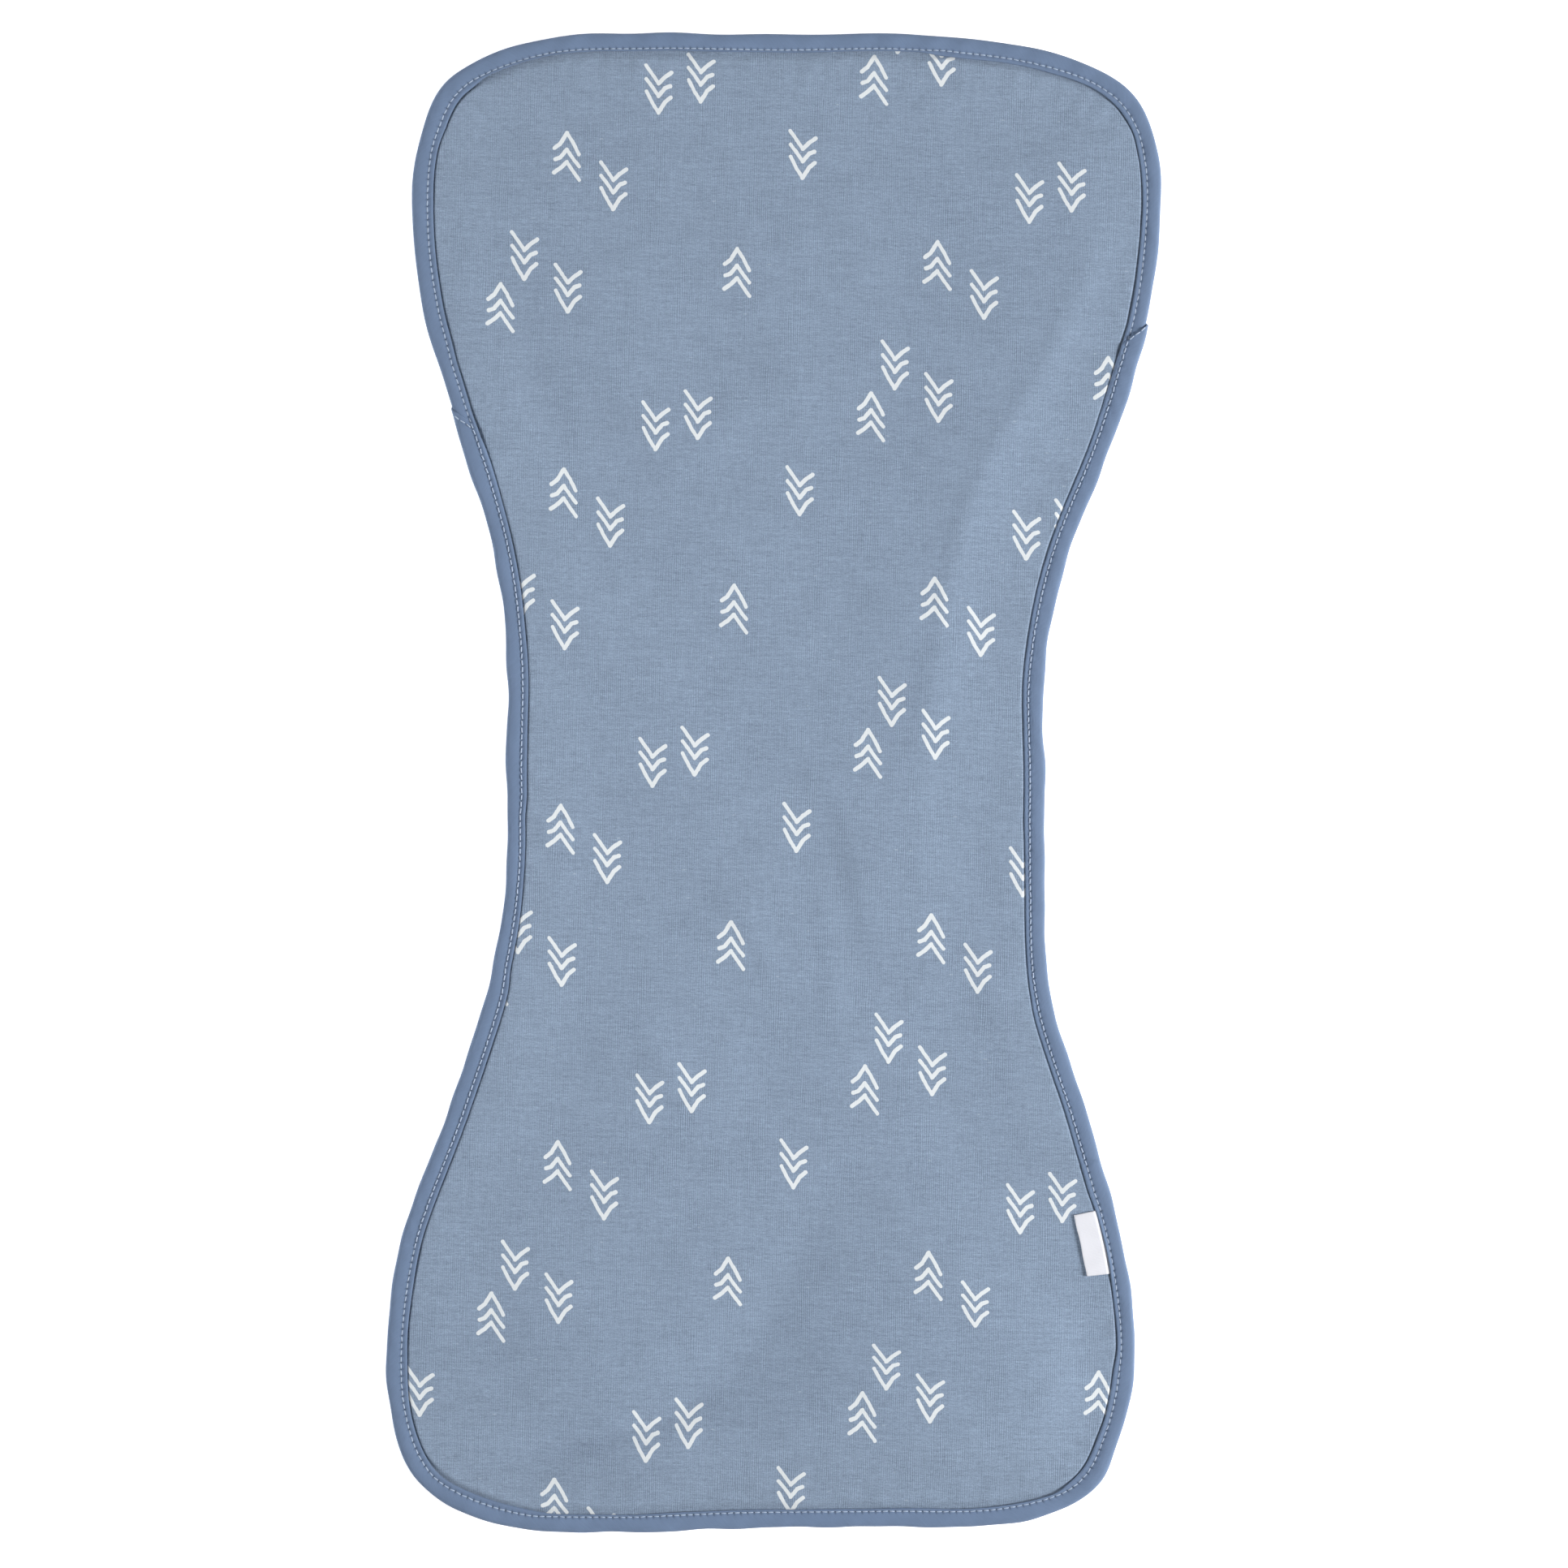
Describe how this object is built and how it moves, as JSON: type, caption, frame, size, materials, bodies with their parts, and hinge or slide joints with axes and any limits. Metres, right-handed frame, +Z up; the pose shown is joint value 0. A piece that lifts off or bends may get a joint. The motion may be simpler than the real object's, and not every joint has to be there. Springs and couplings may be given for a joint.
{
  "type": "burp cloth",
  "caption": "Contoured knit burp cloth, wide at both ends and narrow over the shoulder, bound in folded bias tape, lying flat.",
  "frame": {"origin": "on the surface that the cloth lies on, under the middle of its bounding box", "axes": "+Y along the cloth's long way, towards its upper end; +X across it; +Z up, out of its printed face"},
  "size_m": [0.2534, 0.5084, 0.005],
  "materials": {
    "heather_knit": "soft brushed jersey, blue heather, with a white chevron print on its face",
    "bias_tape": "plain woven tape, folded on the bias",
    "ribbon": "white satin ribbon",
    "thread": "pale blue sewing thread"
  },
  "bodies": {
    "root": {"panel": "heather_knit", "binding_upper": "bias_tape", "binding_lower": "bias_tape", "label": "ribbon"}
  },
  "joints": []
}
